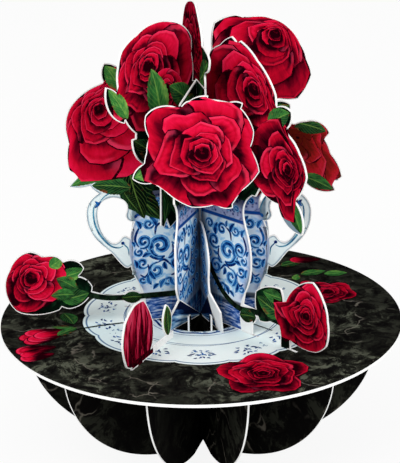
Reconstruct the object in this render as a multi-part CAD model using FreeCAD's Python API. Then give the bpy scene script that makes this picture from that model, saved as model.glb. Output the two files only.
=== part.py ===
import FreeCAD, Part
import math
import os

from FreeCAD import Vector

# A pop up card that opens into a vase of roses on a round table.
# Twelve card ribs make the bowl under the table, and twelve card leaves, joined along one
# upright spine, make the vase and its flowers above it.
# The origin is under the middle of the bowl, Z is up, and the front of the card looks along -Y.
# An azimuth is measured round the spine from the front (-Y) towards the right (+X).

os.makedirs("parts", exist_ok=True)

# Card stock
LEAF_T = 0.7              # a rib or leaf, two printed layers glued back to back
BOARD_T = 1.2             # the table top
FIT = 0.25                # clearance between a tab and its slot, on every side

# Table top
TABLE_R = 80.0
HOLE_R = 17.5             # opening round the foot of the spine
SLOT_SPARE = 4.0          # how far a slot runs on past its tab, so that the tab can slide in

# Bowl
RIB_COUNT = 12
RIB_FIRST = 13.5          # azimuth of the first rib, degrees
RIB_REACH = 71.0          # half width of the bowl under the table
BOWL_DEPTH = 56.0         # depth of the full ellipse
STAND_R = 14.0            # half width of the flat that the bowl stands on
HUB_GAP = 0.3             # how far the ribs stop under the leaves at the spine
FINGER_W = 2.2            # fingers of the two front ribs, which rise through the hole
FINGER_H = 6.0
FINGER_RIBS = (0, 1)

# Vase, as radius and height above the table top
FOOT_REACH = 11.5         # how far a leaf's foot reaches past the hole
FOOT_H = 5.0
TAB_IN = 5.0              # tab under the foot: start and end, measured back from the foot's end
TAB_OUT = 1.0
WAIST = (24.0, 11.0)
BELLY_LOW = (25.0, 16.0)
BELLY = (28.5, 30.0)
SHOULDER = (27.0, 39.5)
NECK = (24.5, 47.5)
LIP = (31.0, 58.0)
SPINE_TOP = 97.0          # every leaf is joined at the spine up to here

# Front leaves, whose foot corners are folded outwards along a crease
CORNER_REACH = 3.5        # how far a folded corner stands on the board, past the hole
LEFT_CORNER_TURN = -17.5
RIGHT_CORNER_TURN = 12.5
LEFT_FLARE = 0.55         # outer edge of the corner, as a share of its crease and of its toe
RIGHT_FLARE = 0.64
WING_LOW = (18.5, 16.5)   # where the middle leaf's narrow wing meets its crease
CORNER_CORE = 2.0         # the folded corners keep this far from the spine

# Flowers
FRONT_ROSE_Y = 26.0       # distance of the front rose before the spine
ROSE_FOOT_OUT = 20.0      # how far the right table rose's own tab stands past the vase's tab
REAR_ROSE = (20.0, 77.0)  # middle of the plain rose on two of the leaves at the back
REAR_ROSE_R = 15.0
CROWN_TOP = 76.0          # plain foliage at the back: its height and reach
CROWN_REACH = 30.0

# Rose bud that stands on the front left of the table
BUD_AZIMUTH = -27.0
BUD_NEAR = 24.5           # start and end of its foot, as radii
BUD_FAR = 57.5
BUD_FOOT_H = 2.7
BUD_TAB_OUT = 25.0        # how far its tab stands past the vase's tab

# Azimuths of the leaves, in order round the spine
LEFT_HANDLE = -76.5
LEFT_ROSE = -46.5
FRONT_LEFT = -20.0
FRONT_MID = 11.0
FRONT_RIGHT = 43.5
RIGHT_HANDLE = 73.5
REAR_RIGHT = 103.5
REAR_1 = 133.5
REAR_2 = 160.0
TOP_ROSE = 191.0          # in line with the middle front leaf
REAR_3 = 223.5
REAR_LEFT = 253.5
AROUND = [LEFT_HANDLE, LEFT_ROSE, FRONT_LEFT, FRONT_MID, FRONT_RIGHT, RIGHT_HANDLE,
          REAR_RIGHT, REAR_1, REAR_2, TOP_ROSE, REAR_3, REAR_LEFT]
STANDING = [a for a in AROUND if a not in (LEFT_ROSE, FRONT_LEFT, FRONT_MID)]

FOOT_R = HOLE_R + FOOT_REACH
ROSE_FOOT_R = FOOT_R + ROSE_FOOT_OUT
BUD_TAB_R = FOOT_R + BUD_TAB_OUT
STAND_DROP = BOWL_DEPTH * math.sqrt(1.0 - (STAND_R / RIB_REACH) ** 2)
UNDERSIDE_Z = STAND_DROP
TABLE_Z = UNDERSIDE_Z + BOARD_T
FAR = 2.0 * TABLE_R


def at(point):
    """A point of a leaf's own plane, from its radius and height."""
    return Vector(point[0], 0, point[1])


def polar(radius, azimuth, z):
    turn = math.radians(azimuth)
    return Vector(radius * math.sin(turn), -radius * math.cos(turn), z)


def straight(points):
    """Face inside a straight-sided outline."""
    corners = [at(p) for p in points]
    return Part.Face(Part.makePolygon(corners + corners[:1]))


def lobed(points, bulge=0.12):
    """Face inside an outline whose every side swells outwards as an arc."""
    following = points[1:] + points[:1]
    area = sum(p[0] * q[1] - q[0] * p[1] for p, q in zip(points, following))
    side = math.copysign(bulge, area)
    edges = []
    for p, q in zip(points, following):
        across = Vector(side * (q[1] - p[1]), 0, side * (p[0] - q[0]))
        crest = (at(p) + at(q)) * 0.5 + across
        edges.append(Part.Arc(at(p), crest, at(q)).toShape())
    return Part.Face(Part.Wire(edges))


def smooth(points):
    """Face inside one smooth closed curve."""
    curve = Part.BSplineCurve()
    curve.interpolate([at(p) for p in points], PeriodicFlag=True)
    return Part.Face(Part.Wire([curve.toShape()]))


def leaf_shape(base, tip, width):
    """A pointed plant leaf from its base to its tip."""
    length = math.hypot(tip[0] - base[0], tip[1] - base[1])
    return lobed([base, tip], width / 2 / length)


def stem(points, width):
    """A bent stem of even width through the points."""
    faces = []
    for p, q in zip(points, points[1:]):
        length = math.hypot(q[0] - p[0], q[1] - p[1])
        bar = straight([(0, width / 2), (length, width / 2), (length, -width / 2), (0, -width / 2)])
        slope = math.degrees(math.atan2(q[1] - p[1], q[0] - p[0]))
        bar.rotate(Vector(0, 0, 0), Vector(0, 1, 0), -slope)
        bar.translate(at(p))
        faces.append(bar)
    for p in points[1:-1]:
        faces.append(Part.Face(Part.Wire([Part.Circle(at(p), Vector(0, 1, 0), width / 2).toShape()])))
    return faces


def cut_from_card(faces, thickness=LEAF_T):
    """One flat sheet with the joined outline of all the faces, standing in the XZ plane."""
    solids = []
    for face in faces:
        face.translate(Vector(0, -thickness / 2, 0))
        solids.append(face.extrude(Vector(0, thickness, 0)))
    sheet = solids[0]
    if len(solids) > 1:
        sheet = sheet.multiFuse(solids[1:])
    return sheet.removeSplitter()


def turned(shape, azimuth, lift=0.0):
    """Turn a sheet from the XZ plane to its azimuth round the spine, and lift it."""
    shape.rotate(Vector(0, 0, 0), Vector(0, 0, 1), azimuth - 90.0)
    shape.translate(Vector(0, 0, lift))
    return shape


def sector(start, end, low, high):
    """The wedge of space between two azimuths, with its point on the spine."""
    corners = [Vector(0, 0, low), polar(FAR, start, low), polar(FAR, end, low)]
    return Part.Face(Part.makePolygon(corners + corners[:1])).extrude(Vector(0, 0, high - low))


def mitred(sheet, azimuth):
    """Point the inner edge of a leaf, so that it meets its neighbours along the spine."""
    place = AROUND.index(azimuth)
    before = AROUND[place - 1] - (360.0 if place == 0 else 0.0)
    after = AROUND[(place + 1) % len(AROUND)] + (360.0 if place == len(AROUND) - 1 else 0.0)
    share = sector((before + azimuth) / 2, (azimuth + after) / 2, 0, TABLE_Z + SPINE_TOP)
    above = Part.makeBox(2 * FAR, 2 * FAR, FAR, Vector(-FAR, -FAR, TABLE_Z + SPINE_TOP))
    return sheet.common(share.fuse(above)).removeSplitter()


def save(shape, name):
    solids = shape.Solids
    assert len(solids) == 1 and solids[0].isValid(), name
    solids[0].exportStep("parts/" + name + ".step")


def vase_side(bottom):
    """Half of the vase, from the given bottom points up to the lip and back to the spine."""
    belly = Part.BSplineCurve()
    belly.interpolate([at(BELLY_LOW), at(BELLY), at(SHOULDER), at(NECK), at(LIP)])
    path = [at(p) for p in bottom + [BELLY_LOW]]
    edges = [Part.makeLine(p, q) for p, q in zip(path, path[1:])]
    edges.append(belly.toShape())
    edges.append(Part.makeLine(at(LIP), at((0, LIP[1]))))
    edges.append(Part.makeLine(at((0, LIP[1])), path[0]))
    return Part.Face(Part.Wire(edges))


def foot_tab(outer=FOOT_R):
    """Tab that goes down through the board, flush with its underside."""
    return straight([(outer - TAB_IN, 0.5), (outer - TAB_OUT, 0.5), (outer - TAB_OUT, -BOARD_T),
                     (outer - TAB_IN, -BOARD_T)])


def vase_half():
    """Half of the vase with its standing foot and tab."""
    outline = [(0, 0), (FOOT_R, 0), (FOOT_R, FOOT_H), (WAIST[0], FOOT_H + 1.0), WAIST]
    return [vase_side(outline), foot_tab()]


def handle():
    """A scrolled handle with its finger hole."""
    outside = smooth([(24, 45.6), (25.2, 50.2), (29.2, 54.6), (34, 59.4), (35.4, 60.8), (36.2, 59.3),
                      (36.9, 57.4), (40.5, 54.5), (43.8, 51.2), (44.8, 46), (43.2, 39.3), (39.5, 34),
                      (35.3, 29.8), (31.5, 24.7), (29.4, 23.2), (26.5, 25), (21, 30), (20, 38)])
    hole = smooth([(23, 42), (26.5, 42), (28.6, 43), (29.3, 44.8), (28.7, 47.3), (29.4, 50.4), (32, 52.1),
                   (36.7, 52.1), (39.6, 49.2), (40.1, 45.5), (39.2, 40.5), (36.6, 35.7), (34.2, 34),
                   (32.4, 34.6), (30.3, 36.5), (28.4, 35.8), (26, 34.2), (22.5, 36.5)])
    return [outside.cut(hole)]


def crown():
    """Plain foliage above the lip, from the spine out to its reach."""
    low = LIP[1] - 2.0
    span = CROWN_TOP - low
    reach = CROWN_REACH
    return [lobed([(0, low), (reach * 0.8, low), (reach, low + span * 0.45),
                   (reach * 0.55, low + span * 0.8), (0, CROWN_TOP)], 0.1),
            straight([(0, low), (reach * 0.5, low), (0, CROWN_TOP)]),
            leaf_shape((reach * 0.5, low + span * 0.3), (reach * 1.15, low + span * 0.3), 8.0),
            leaf_shape((reach * 0.3, low + span * 0.5), (reach * 0.75, CROWN_TOP), 8.0)]


def left_handle_leaf():
    faces = vase_half() + handle() + stem([(18, 10.5), (38, 11.5), (47, 15)], 2.0)
    # Rose over the left side of the table, with its leaves
    faces.append(lobed([(62, 31), (67, 34), (71.5, 32.5), (75.5, 27), (77.5, 20), (74.5, 11),
                        (71, 8.5), (57, 8.5), (52, 19), (54, 25)], 0.08))
    faces.append(lobed([(63, 31), (57, 31), (53, 25), (60, 22)], 0.1))
    faces.append(leaf_shape((58, 25), (46.5, 25), 8.0))
    faces.append(lobed([(58, 12), (56, 20), (48, 21.5), (43.5, 17), (46, 11.5), (53, 8.5)], 0.1))
    faces.append(leaf_shape((23.5, 10.5), (32.5, 10.5), 6.0))
    # Rose at the left of the bunch, with the foliage that carries it
    faces.append(lobed([(38, 97.5), (48, 91), (51, 84), (50, 76.5), (50.5, 65), (42, 61.5),
                        (36, 63.5), (29, 69), (22, 72), (18, 84), (24, 95), (31, 98.5)], 0.07))
    faces.append(leaf_shape((34, 64), (51, 58.5), 6.0))
    faces.append(leaf_shape((29, 94), (35.5, 105.5), 8.0))
    faces.append(leaf_shape((27, 56), (43, 58.5), 8.0))
    faces.append(straight([(0, 48), (25, 48), (38, 60), (36, 66), (24, 90), (10, 93), (0, 93)]))
    return faces


def left_rose_leaf():
    faces = [lobed([(13, 121), (22.5, 121.5), (30, 118.5), (37, 114), (39, 108.5), (39.5, 101),
                    (37, 89), (31.5, 82), (31, 76), (20, 72), (8, 84), (3, 94), (3, 108), (3, 114),
                    (7, 118.5)], 0.06)]
    faces.append(leaf_shape((37, 87), (45, 102), 7.0))
    # Leaves that hang from the spine towards the vase, cut into two prongs
    faces.append(straight([(0, 96), (6, 98), (31, 78), (24, 66), (20, 58), (20.5, 43), (18.8, 42),
                           (17.6, 45), (16, 41), (11, 44), (6, 52), (0, 58)]))
    faces.append(leaf_shape((20, 68), (33.5, 80), 9.0))
    return faces


def before_front_rose(sheet):
    """Trim a leaf where the front rose is glued to its edge."""
    back_of_rose = FRONT_ROSE_Y - LEAF_T / 2
    keep = Part.makeBox(2 * FAR, FAR, TABLE_Z + FAR, Vector(-FAR, -back_of_rose, -1))
    return sheet.common(keep)


def folded_corner(azimuth, turn, crease_end, flare):
    """Foot corner of a front leaf, folded outwards along a crease that starts at the spine."""
    top = polar(crease_end[0], azimuth, crease_end[1])
    toe = polar(HOLE_R + CORNER_REACH, azimuth + turn, 0)
    edge = (toe + top) * flare
    corner = Part.Face(Part.makePolygon([Vector(0, 0, 0), top, edge, toe, Vector(0, 0, 0)]))
    across = top.cross(toe).normalize()
    corner.translate(across * (-LEAF_T / 2))
    panel = corner.extrude(across * LEAF_T)
    above_board = Part.makeBox(2 * FAR, 2 * FAR, FAR, Vector(-FAR, -FAR, 0))
    core = Part.makeCylinder(CORNER_CORE, FAR, Vector(0, 0, -1))
    return panel.common(above_board).cut(core)


def with_corner(faces, azimuth, turn, crease_end, flare):
    """Turn a front leaf to its azimuth and add its folded foot corner."""
    sheet = mitred(turned(cut_from_card(faces), azimuth, TABLE_Z), azimuth)
    corner = folded_corner(azimuth, turn, crease_end, flare)
    corner.translate(Vector(0, 0, TABLE_Z))
    return before_front_rose(sheet.fuse(corner).removeSplitter())


def front_left_leaf():
    faces = [vase_side([(0, 0)])]
    faces.append(straight([(0, 57), (29, 57), (29, 86), (18, 92), (0, SPINE_TOP)]))
    return faces


def front_mid_leaf():
    # Narrow wing of the vase: up its curved outside, across its top and back down the spine
    wing = Part.BSplineCurve()
    wing.interpolate([at(WING_LOW), at((16.8, 21)), at((17.8, 28.5)), at((14, 35.5)), at((2, 40.5))])
    edges = [wing.toShape()]
    for p, q in zip([(2, 40.5), (0, 40.5), (0, 0)], [(0, 40.5), (0, 0), WING_LOW]):
        edges.append(Part.makeLine(at(p), at(q)))
    faces = [Part.Face(Part.Wire(edges))]
    # Narrow strip at the neck, and the foliage that holds the front rose
    faces.append(straight([(0, 40), (1.6, 40), (1.6, 54), (27, 60), (27, 86), (17, 90),
                           (16, SPINE_TOP), (0, SPINE_TOP)]))
    return faces


def front_right_leaf():
    faces = vase_half() + stem([(18, 10.5), (42, 9.5)], 2.2)
    # Rose standing over the right side of the table, with its leaves and its own foot
    faces.append(lobed([(53, 27.5), (60, 30.5), (65, 25), (67.5, 17), (67, 7), (62, 3), (50, 3.5),
                        (42, 10), (40, 15), (46.5, 19)], 0.07))
    faces.append(lobed([(31, 19), (44, 23.5), (45, 15), (41, 10), (33, 7)], 0.1))
    faces.append(leaf_shape((22, 6.5), (31.5, 8), 7.0))
    faces.append(straight([(44, 0), (ROSE_FOOT_R, 0), (ROSE_FOOT_R, 5.0), (44, 9)]))
    faces.append(foot_tab(ROSE_FOOT_R))
    # Two roses of the bunch
    faces.append(lobed([(7, 105), (8, 109), (13, 112), (19, 116), (22, 113.5), (23.5, 115),
                        (32, 109), (41, 98), (41, 90), (34, 80), (20, 78), (8, 88), (4, 96)], 0.06))
    faces.append(leaf_shape((38, 86), (49, 93), 9.0))
    faces.append(lobed([(42, 87), (47.5, 84), (53, 78), (56.5, 70), (52, 61), (45, 57), (37, 58),
                        (31, 63), (28, 74), (33, 84)], 0.07))
    faces.append(leaf_shape((43, 62), (54.5, 47.5), 10.0))
    faces.append(straight([(0, 57), (31, 57), (34, 62), (34, 82), (12, 90), (5, 96), (0, 96)]))
    return faces


def right_handle_leaf():
    faces = vase_half() + handle()
    faces.append(lobed([(36, 80), (42, 83), (47, 79.5), (52, 71), (56.5, 62), (50, 59.5), (42, 61),
                        (34, 68)], 0.08))
    faces.append(leaf_shape((39, 80), (51.5, 79), 8.0))
    faces.append(leaf_shape((40, 63), (54, 56.5), 7.0))
    faces.append(straight([(0, 57), (30, 57), (42, 61), (40, 80), (24, 90), (0, 93)]))
    return faces


def top_rose_leaf():
    """The back leaf whose rose, at the very top, reaches across the spine above the others."""
    faces = vase_half() + [straight([(0, 57), (24, 57), (27, 90), (0, SPINE_TOP)])]
    faces.append(lobed([(24.5, 115), (19, 121.5), (9, 125), (1, 125.5), (-6, 120.5), (-11, 115),
                        (-12, 107), (-8, 98), (0, 90), (14, 87), (24, 92), (28.5, 104)], 0.05))
    faces.append(lobed([(-4, 98), (-16, 97.2), (-15, 103), (-23, 105.5), (-25, 109.5), (-19, 111.5),
                        (-8, 111)], 0.08))
    return faces


def rear_right_leaf():
    faces = vase_half()
    faces.append(lobed([(7, 118), (15, 120.5), (19, 119), (23, 119.5), (29.5, 118.3), (35.5, 115),
                        (41, 107.5), (43.5, 101), (45.5, 95), (40, 86), (31, 87), (18, 86), (9, 95),
                        (6, 107)], 0.06))
    faces.append(leaf_shape((26, 78), (37, 84), 9.0))
    faces.append(straight([(0, 57), (28, 57), (32, 74), (30, 90), (12, 93), (0, 93)]))
    return faces


def rear_leaf(with_rose):
    """A plain leaf at the back: the vase, foliage and, on some, one rose."""
    faces = vase_half() + crown()
    if with_rose:
        turns = [math.radians(a) for a in range(0, 360, 40)]
        faces.append(lobed([(REAR_ROSE[0] + REAR_ROSE_R * math.cos(t),
                             REAR_ROSE[1] + REAR_ROSE_R * math.sin(t)) for t in turns], 0.1))
    return faces


def front_rose():
    """Rose that faces the front, glued to the edges of the two leaves behind it."""
    faces = [lobed([(-4, 95), (9, 95), (16, 92), (20.5, 83.5), (19, 77), (22.5, 68), (15, 60),
                    (11, 54), (6.5, 55.5), (-3, 54.5), (-13, 61.5), (-20, 68), (-19, 76), (-18, 81),
                    (-17.5, 88), (-6, 93)], 0.06)]
    faces.append(leaf_shape((-12, 70), (-24.5, 66), 8.0))
    faces.append(leaf_shape((4, 61), (12.5, 54), 6.0))
    faces.append(leaf_shape((-6, 90), (4, 97), 5.0))
    faces.append(leaf_shape((8, 90), (16.5, 94), 5.0))
    faces.append(lobed([(-18, 82), (-6, 86), (-6, 92), (-13, 93.5), (-19, 90)], 0.1))
    sheet = cut_from_card(faces)
    sheet.translate(Vector(0, -FRONT_ROSE_Y, TABLE_Z))
    return sheet


def table_bud():
    """Rose bud that stands on the front left of the table, in a slot of its own."""
    faces = [lobed([(47, 24), (54, 24.5), (61, 20), (63.5, 12), (61, 2.5), (58, 1), (44, 1), (41, 5),
                    (40.5, 13)], 0.05)]
    faces.append(straight([(BUD_NEAR, 0), (BUD_FAR, 0), (BUD_FAR, BUD_FOOT_H), (BUD_NEAR, BUD_FOOT_H)]))
    faces.append(leaf_shape((BUD_NEAR + 4.0, 1.5), (BUD_NEAR + 5.0, 15.5), 7.0))
    faces.append(foot_tab(BUD_TAB_R))
    sheet = cut_from_card(faces)
    keep = Part.makeBox(FAR, FAR, FAR, Vector(0, -FAR / 2, -BOARD_T))
    return turned(sheet.common(keep), BUD_AZIMUTH, TABLE_Z)


def rib(number):
    """One rib of the bowl, from the spine out under the board."""
    azimuth = RIB_FIRST - 360.0 / RIB_COUNT * number
    drop = STAND_DROP
    curve = Part.Ellipse(at((RIB_REACH, 0)), at((0, -BOWL_DEPTH)), at((0, 0)))
    stand = math.acos(STAND_R / RIB_REACH)
    arc = Part.Arc(curve, 0.0, stand).toShape()
    finger_out = HOLE_R - FIT
    finger_in = finger_out - FINGER_W
    path = [(STAND_R, -drop), (0, -drop), (0, BOARD_T - HUB_GAP), (finger_in, -BOARD_T)]
    if number in FINGER_RIBS:
        path += [(finger_in, FINGER_H + BOARD_T), (finger_out, FINGER_H + BOARD_T), (finger_out, 0)]
    path += [(HOLE_R, 0), (RIB_REACH, 0)]
    edges = [Part.makeLine(at(p), at(q)) for p, q in zip(path, path[1:])]
    face = Part.Face(Part.Wire(Part.__sortEdges__([arc] + edges)))
    half = 180.0 / RIB_COUNT
    sheet = turned(cut_from_card([face]), azimuth)
    sheet = sheet.common(sector(azimuth - half, azimuth + half, -FAR, FAR))
    sheet.translate(Vector(0, 0, UNDERSIDE_Z))
    return sheet


def slot(azimuth, outer):
    """Slot in the board for the tab of a foot that ends at the outer radius."""
    start = outer - TAB_IN - FIT
    length = TAB_IN - TAB_OUT + 2 * FIT + SLOT_SPARE
    width = LEAF_T + 2 * FIT
    box = Part.makeBox(length, width, 3 * BOARD_T, Vector(start, -width / 2, -BOARD_T))
    return turned(box, azimuth, UNDERSIDE_Z)


def table_top():
    board = Part.makeCylinder(TABLE_R, BOARD_T, Vector(0, 0, UNDERSIDE_Z))
    board = board.cut(Part.makeCylinder(HOLE_R, 3 * BOARD_T, Vector(0, 0, UNDERSIDE_Z - BOARD_T)))
    for azimuth in STANDING:
        board = board.cut(slot(azimuth, FOOT_R))
    board = board.cut(slot(FRONT_RIGHT, ROSE_FOOT_R))
    return board.cut(slot(BUD_AZIMUTH, BUD_TAB_R))


save(table_top(), "table_top")
for number in range(RIB_COUNT):
    save(rib(number), "bowl_rib_%02d" % (number + 1))

PLAIN_LEAVES = [
    ("leaf_left_handle", LEFT_HANDLE, left_handle_leaf()),
    ("leaf_left_rose", LEFT_ROSE, left_rose_leaf()),
    ("leaf_front_right", FRONT_RIGHT, front_right_leaf()),
    ("leaf_right_handle", RIGHT_HANDLE, right_handle_leaf()),
    ("leaf_rear_right", REAR_RIGHT, rear_right_leaf()),
    ("leaf_rear_1", REAR_1, rear_leaf(True)),
    ("leaf_rear_2", REAR_2, rear_leaf(False)),
    ("leaf_top_rose", TOP_ROSE, top_rose_leaf()),
    ("leaf_rear_3", REAR_3, rear_leaf(True)),
    ("leaf_rear_left", REAR_LEFT, rear_leaf(False)),
]
for name, azimuth, outline in PLAIN_LEAVES:
    save(mitred(turned(cut_from_card(outline), azimuth, TABLE_Z), azimuth), name)

front_left = with_corner(front_left_leaf(), FRONT_LEFT, LEFT_CORNER_TURN, BELLY_LOW, LEFT_FLARE)
save(front_left, "leaf_front_left")
front_mid = with_corner(front_mid_leaf(), FRONT_MID, RIGHT_CORNER_TURN, WING_LOW, RIGHT_FLARE)
save(front_mid, "leaf_front_mid")
save(front_rose(), "front_rose")
save(table_bud(), "table_bud")
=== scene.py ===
import math
import random

import bmesh
import bpy
from bpy.props import FloatProperty, FloatVectorProperty, PointerProperty
from mathutils import Matrix, Vector
from mathutils.bvhtree import BVHTree
from mathutils.geometry import intersect_line_line_2d


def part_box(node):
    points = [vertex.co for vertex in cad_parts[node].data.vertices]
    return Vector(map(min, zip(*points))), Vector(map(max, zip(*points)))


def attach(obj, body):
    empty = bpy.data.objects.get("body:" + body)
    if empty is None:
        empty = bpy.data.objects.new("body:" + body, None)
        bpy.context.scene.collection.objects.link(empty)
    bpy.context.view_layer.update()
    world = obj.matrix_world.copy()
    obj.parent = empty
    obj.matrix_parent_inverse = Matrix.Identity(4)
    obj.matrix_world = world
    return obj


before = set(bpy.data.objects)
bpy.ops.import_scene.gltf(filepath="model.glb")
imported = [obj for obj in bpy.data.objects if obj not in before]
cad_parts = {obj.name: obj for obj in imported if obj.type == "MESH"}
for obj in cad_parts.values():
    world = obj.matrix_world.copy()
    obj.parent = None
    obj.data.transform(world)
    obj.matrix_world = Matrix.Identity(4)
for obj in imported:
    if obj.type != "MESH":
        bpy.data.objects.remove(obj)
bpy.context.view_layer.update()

bl_info = {
    "name": "Pop Up Rose Card",
    "version": (1, 0, 0),
    "blender": (4, 5, 0),
    "location": "3D View > Sidebar > Rose Card",
    "description": "Prints roses, a blue and white vase and black marble on an open pop up card",
    "category": "Object",
}

MM = 0.001
TABLE_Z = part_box("table_top")[1].z
LEAF_T = 0.7 * MM
INK = 0.001 * MM            # how far one layer of print lies above the one below
MARGIN = 0.35 * MM          # bare card left between the print and the cut edge
SPINE_EDGE = 2.2 * MM       # the print goes on to the fold inside this radius

# Azimuth of each leaf round the spine, in degrees from the front towards the right
LEAVES = {
    "leaf_left_handle": -76.5,
    "leaf_left_rose": -46.5,
    "leaf_front_left": -20.0,
    "leaf_front_mid": 11.0,
    "leaf_front_right": 43.5,
    "leaf_right_handle": 73.5,
    "leaf_rear_right": 103.5,
    "leaf_rear_1": 133.5,
    "leaf_rear_2": 160.0,
    "leaf_top_rose": 191.0,
    "leaf_rear_3": 223.5,
    "leaf_rear_left": 253.5,
}
FRONT_ROSE_Y = 26.0 * MM    # the front rose stands this far before the spine
BUD_AZIMUTH = -27.0

# Outlines on a leaf, in millimetres: radius from the spine and height above the table top
VASE_TOP = 54.0             # height where the vase ends and the foliage starts
FLOWERS_TOP = 40.0          # height of the flowers that lie beside the vase
NO_FLOWERS = 99.0           # a radius beyond every leaf
HANDLE_X = 26.5             # a handle lies outside this radius
HANDLE_Z = (19.0, 61.5)     # and between these heights
HANDLE_LEAVES = ("leaf_left_handle", "leaf_right_handle")
HANDLE_SHADE = 0.9 * MM     # width of the grey along the edges of a handle
CREASES = {"leaf_front_left": (25.0, 16.0), "leaf_front_mid": (18.5, 16.5)}     # outer ends
CREASE_REACH = 4 * MARGIN   # verts this near a crease belong to it
CREASE_SHIFT = 1.5 * MARGIN  # closes the bare line between a leaf's print and its corner's

# How meshes of the card are cleaned before they are printed on
WELD = 0.001 * MM
STRAIGHT = 0.02
WIDE_FACE = 0.99            # least share of its normal that faces out from the sheet


def srgb(red, green, blue):
    """A colour given as 0 to 255 screen values, as Blender's linear colour."""
    return tuple(((v / 255 + 0.055) / 1.055) ** 2.4 if v > 10 else v / 255 / 12.92
                 for v in (red, green, blue))


def colour_property(name, description, screen):
    return FloatVectorProperty(name=name, description=description, subtype="COLOR", size=3,
                               min=0.0, max=1.0, default=srgb(*screen))


class RoseColours(bpy.types.PropertyGroup):
    deep: colour_property("Deep", "Shadow between the petals", (30, 0, 8))
    dark: colour_property("Dark", "Inner side of a petal", (92, 2, 22))
    body: colour_property("Body", "Middle of a petal", (182, 8, 38))
    bright: colour_property("Bright", "Outer side of a petal", (226, 20, 66))
    lip: colour_property("Lip", "Lit rim of a petal", (238, 76, 116))


class LeafColours(bpy.types.PropertyGroup):
    shade: colour_property("Shade", "Darkest green", (6, 20, 12))
    dark: colour_property("Dark", "Green in shadow", (20, 60, 34))
    green: colour_property("Green", "Body of a leaf", (54, 120, 54))
    light: colour_property("Light", "Lit side of a leaf", (138, 182, 84))
    blush: colour_property("Blush", "Red hint on rims and veins", (150, 62, 40))


class VaseColours(bpy.types.PropertyGroup):
    glaze: colour_property("Glaze", "White of the porcelain", (224, 242, 250))
    wash: colour_property("Wash", "Pale blue wash", (116, 190, 236))
    lilac: colour_property("Lilac", "Lilac tint near the outline", (166, 160, 222))
    cobalt: colour_property("Cobalt", "Painted scrolls", (22, 72, 150))
    navy: colour_property("Navy", "Darkest blue", (12, 22, 62))


class TableColours(bpy.types.PropertyGroup):
    marble: colour_property("Marble", "Black of the marble", (13, 12, 12))
    cloud: colour_property("Cloud", "Grey-olive clouds", (108, 112, 96))
    vein: colour_property("Vein", "Pale veins", (140, 134, 122))
    plate: colour_property("Plate", "Mint white of the plate", (238, 249, 247))
    line: colour_property("Line", "Blue line on the plate", (40, 92, 140))
    plate_radius: FloatProperty(name="Plate", description="Radius of the printed plate",
                                default=47.5 * MM, unit="LENGTH")


class StageSettings(bpy.types.PropertyGroup):
    floor_size: FloatProperty(name="Floor", description="Side of the floor", default=6.0, unit="LENGTH")
    key_power: FloatProperty(name="Key", description="Power of the key light", default=9.0, unit="POWER")
    fill_power: FloatProperty(name="Fill", description="Power of the fill light", default=5.0, unit="POWER")
    sky: FloatProperty(name="Sky", description="Strength of the light from all round", default=0.62)
    lens: FloatProperty(name="Lens", description="Focal length", default=111.3, subtype="DISTANCE_CAMERA")


# Finishes, built from nodes

class Nodes:
    """A node tree, added to a step at a time. Each step returns its output socket."""

    def __init__(self, tree):
        self.tree = tree

    def add(self, kind, values=(), output=0, **settings):
        node = self.tree.nodes.new(kind)
        for key, value in settings.items():
            setattr(node, key, value)
        for key, value in dict(values).items():
            if isinstance(value, bpy.types.NodeSocket):
                self.tree.links.new(value, node.inputs[key])
            elif value is not None:
                node.inputs[key].default_value = value
        return node.outputs[output]

    def for_camera(self, usual, seen, share, end):
        """Show the seen shader to the camera, by a share of it, and the usual one to all other rays."""
        straight = self.add("ShaderNodeLightPath", output=0)
        if share < 1.0:
            straight = self.add("ShaderNodeMath", {0: straight, 1: share}, operation="MULTIPLY")
        both = self.add("ShaderNodeMixShader", {0: straight, 1: usual, 2: seen})
        self.tree.links.new(both, self.tree.nodes[end].inputs["Surface"])


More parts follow.
